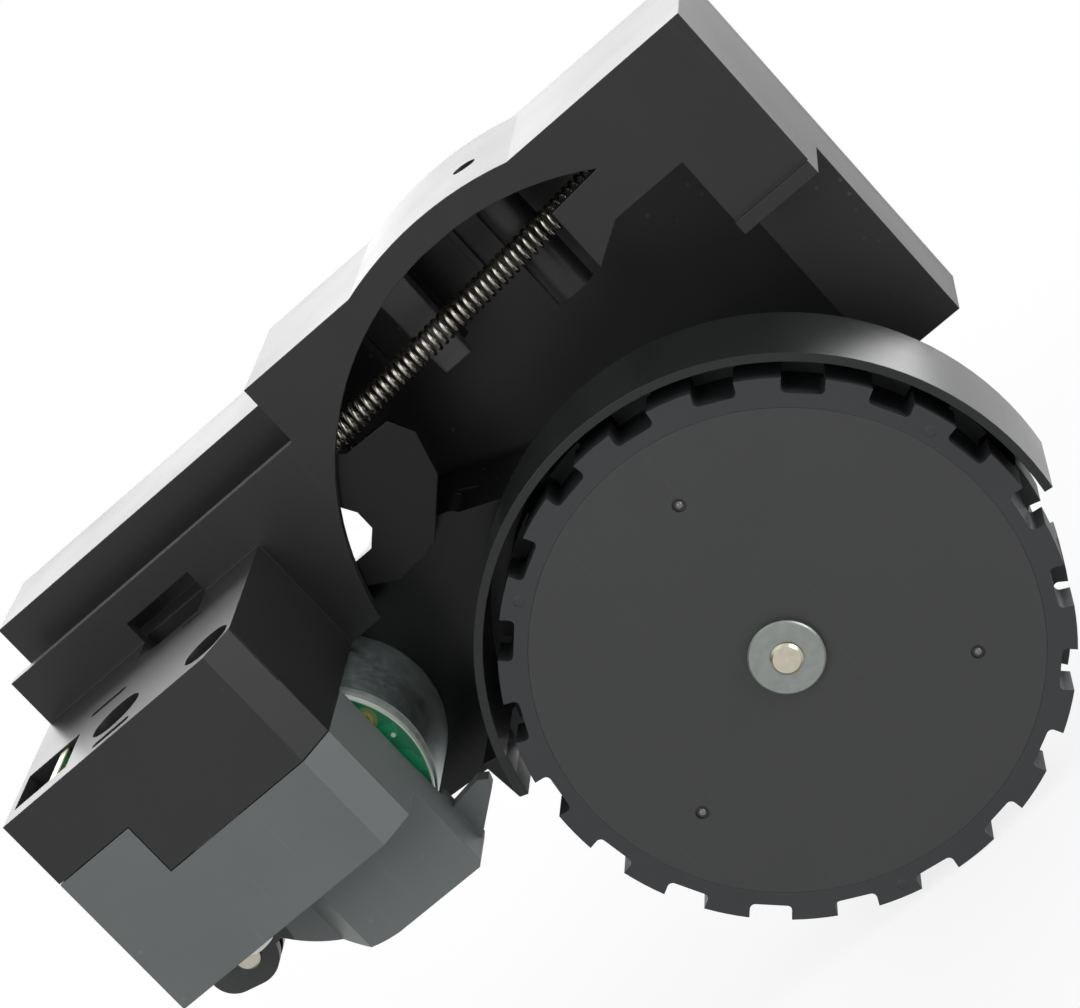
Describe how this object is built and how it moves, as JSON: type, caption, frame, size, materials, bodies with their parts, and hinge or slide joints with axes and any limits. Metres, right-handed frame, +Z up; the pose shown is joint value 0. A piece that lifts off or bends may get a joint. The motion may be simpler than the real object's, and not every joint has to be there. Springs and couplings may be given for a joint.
{
  "type": "robot vacuum wheel module",
  "caption": "Sprung drive wheel module for a floor-cleaning robot: housing, swinging gear case with motor and gear train, spring and ribbed tyre.",
  "frame": {"origin": "centre of the locating bore in the connector block's top face", "axes": "+Z up as installed, +X along the module towards the wheel, -Y towards the wheel's outer face"},
  "size_m": [0.1267, 0.0653, 0.1047],
  "materials": {
    "housing_plastic": "satin",
    "cover_plastic": "satin",
    "arm_plastic": "satin",
    "wheel_plastic": "satin",
    "gear_plastic": "satin",
    "switch_plastic": "satin",
    "plunger_plastic": "satin",
    "tread_rubber": "matte",
    "pin_steel": "bright",
    "axle_steel": "bright",
    "washer_steel": "satin",
    "screw_steel": "satin",
    "spring_steel": "bright",
    "can_steel": "bright",
    "flux_ring_finish": "satin",
    "magnet_finish": "satin",
    "sintered_bronze": "satin",
    "board_laminate": "gloss",
    "gold_plating": "bright"
  },
  "bodies": {
    "module": {"housing": "housing_plastic", "connector_board": "board_laminate", "contact_strips": "gold_plating", "lower_cover": "cover_plastic", "cover_screws": "screw_steel", "pivot_pin": "pin_steel", "pin_clip": "screw_steel", "drop_switch": "switch_plastic", "rear_cover": "housing_plastic", "rear_screws": "screw_steel"},
    "arm": {"gear_case": "arm_plastic", "gear_case_cover": "arm_plastic", "case_screws": "screw_steel", "motor_can": "can_steel", "flux_ring": "flux_ring_finish", "motor_end_cap": "switch_plastic", "motor_screws": "screw_steel", "encoder_board": "board_laminate", "front_bush": "sintered_bronze", "rear_bush": "sintered_bronze", "gear_one_shaft": "pin_steel", "gear_two_shaft": "pin_steel"},
    "wheel": {"wheel_axle": "axle_steel", "output_gear": "gear_plastic", "axle_washer": "washer_steel", "wheel_disc": "wheel_plastic", "tyre": "tread_rubber"},
    "second_gear": {"gear_two": "gear_plastic"},
    "first_gear": {"gear_one": "gear_plastic"},
    "rotor": {"motor_shaft": "pin_steel", "motor_pinion": "sintered_bronze", "encoder_magnet": "magnet_finish"},
    "plunger": {"switch_plunger": "plunger_plastic"},
    "spring": {"tension_spring": "spring_steel"}
  },
  "joints": [
    {"name": "arm_swing", "type": "hinge", "parent": "module", "child": "arm", "pos_m": [-0.0297, 0.035, -0.0369], "axis": [0, -1, 0], "range_deg": [0, 16], "stiffness_Nm_per_rad": 0.25, "springref_deg": -22.92},
    {"name": "wheel_spin", "type": "hinge", "parent": "arm", "child": "wheel", "pos_m": [0.0506, 0.03, -0.0503], "axis": [0, -1, 0], "continuous": true},
    {"name": "second_gear_spin", "type": "hinge", "parent": "arm", "child": "second_gear", "pos_m": [0.02871, 0.043, -0.03628], "axis": [0, -1, 0], "continuous": true},
    {"name": "first_gear_spin", "type": "hinge", "parent": "arm", "child": "first_gear", "pos_m": [0.01033, 0.048, -0.03072], "axis": [0, -1, 0], "continuous": true},
    {"name": "rotor_spin", "type": "hinge", "parent": "arm", "child": "rotor", "pos_m": [-0.00745, 0.03, -0.0279], "axis": [0, -1, 0], "continuous": true},
    {"name": "plunger_slide", "type": "slide", "parent": "module", "child": "plunger", "axis": [0, 0, 1], "range_m": [0, 0.0012]},
    {"name": "spring_stretch", "type": "slide", "parent": "module", "child": "spring", "axis": [-0.7602, 0, 0.6497], "range_m": [0, 0.01668], "deforming": ["tension_spring"]}
  ],
  "couplings": [
    {"joint": "second_gear_spin", "follows": "wheel_spin", "ratio": -3},
    {"joint": "first_gear_spin", "follows": "wheel_spin", "ratio": 9},
    {"joint": "rotor_spin", "follows": "wheel_spin", "ratio": -36},
    {"joint": "plunger_slide", "follows": "arm_swing", "m_per_rad": 0.004261},
    {"joint": "spring_stretch", "follows": "arm_swing", "m_per_rad": 0.059702}
  ]
}
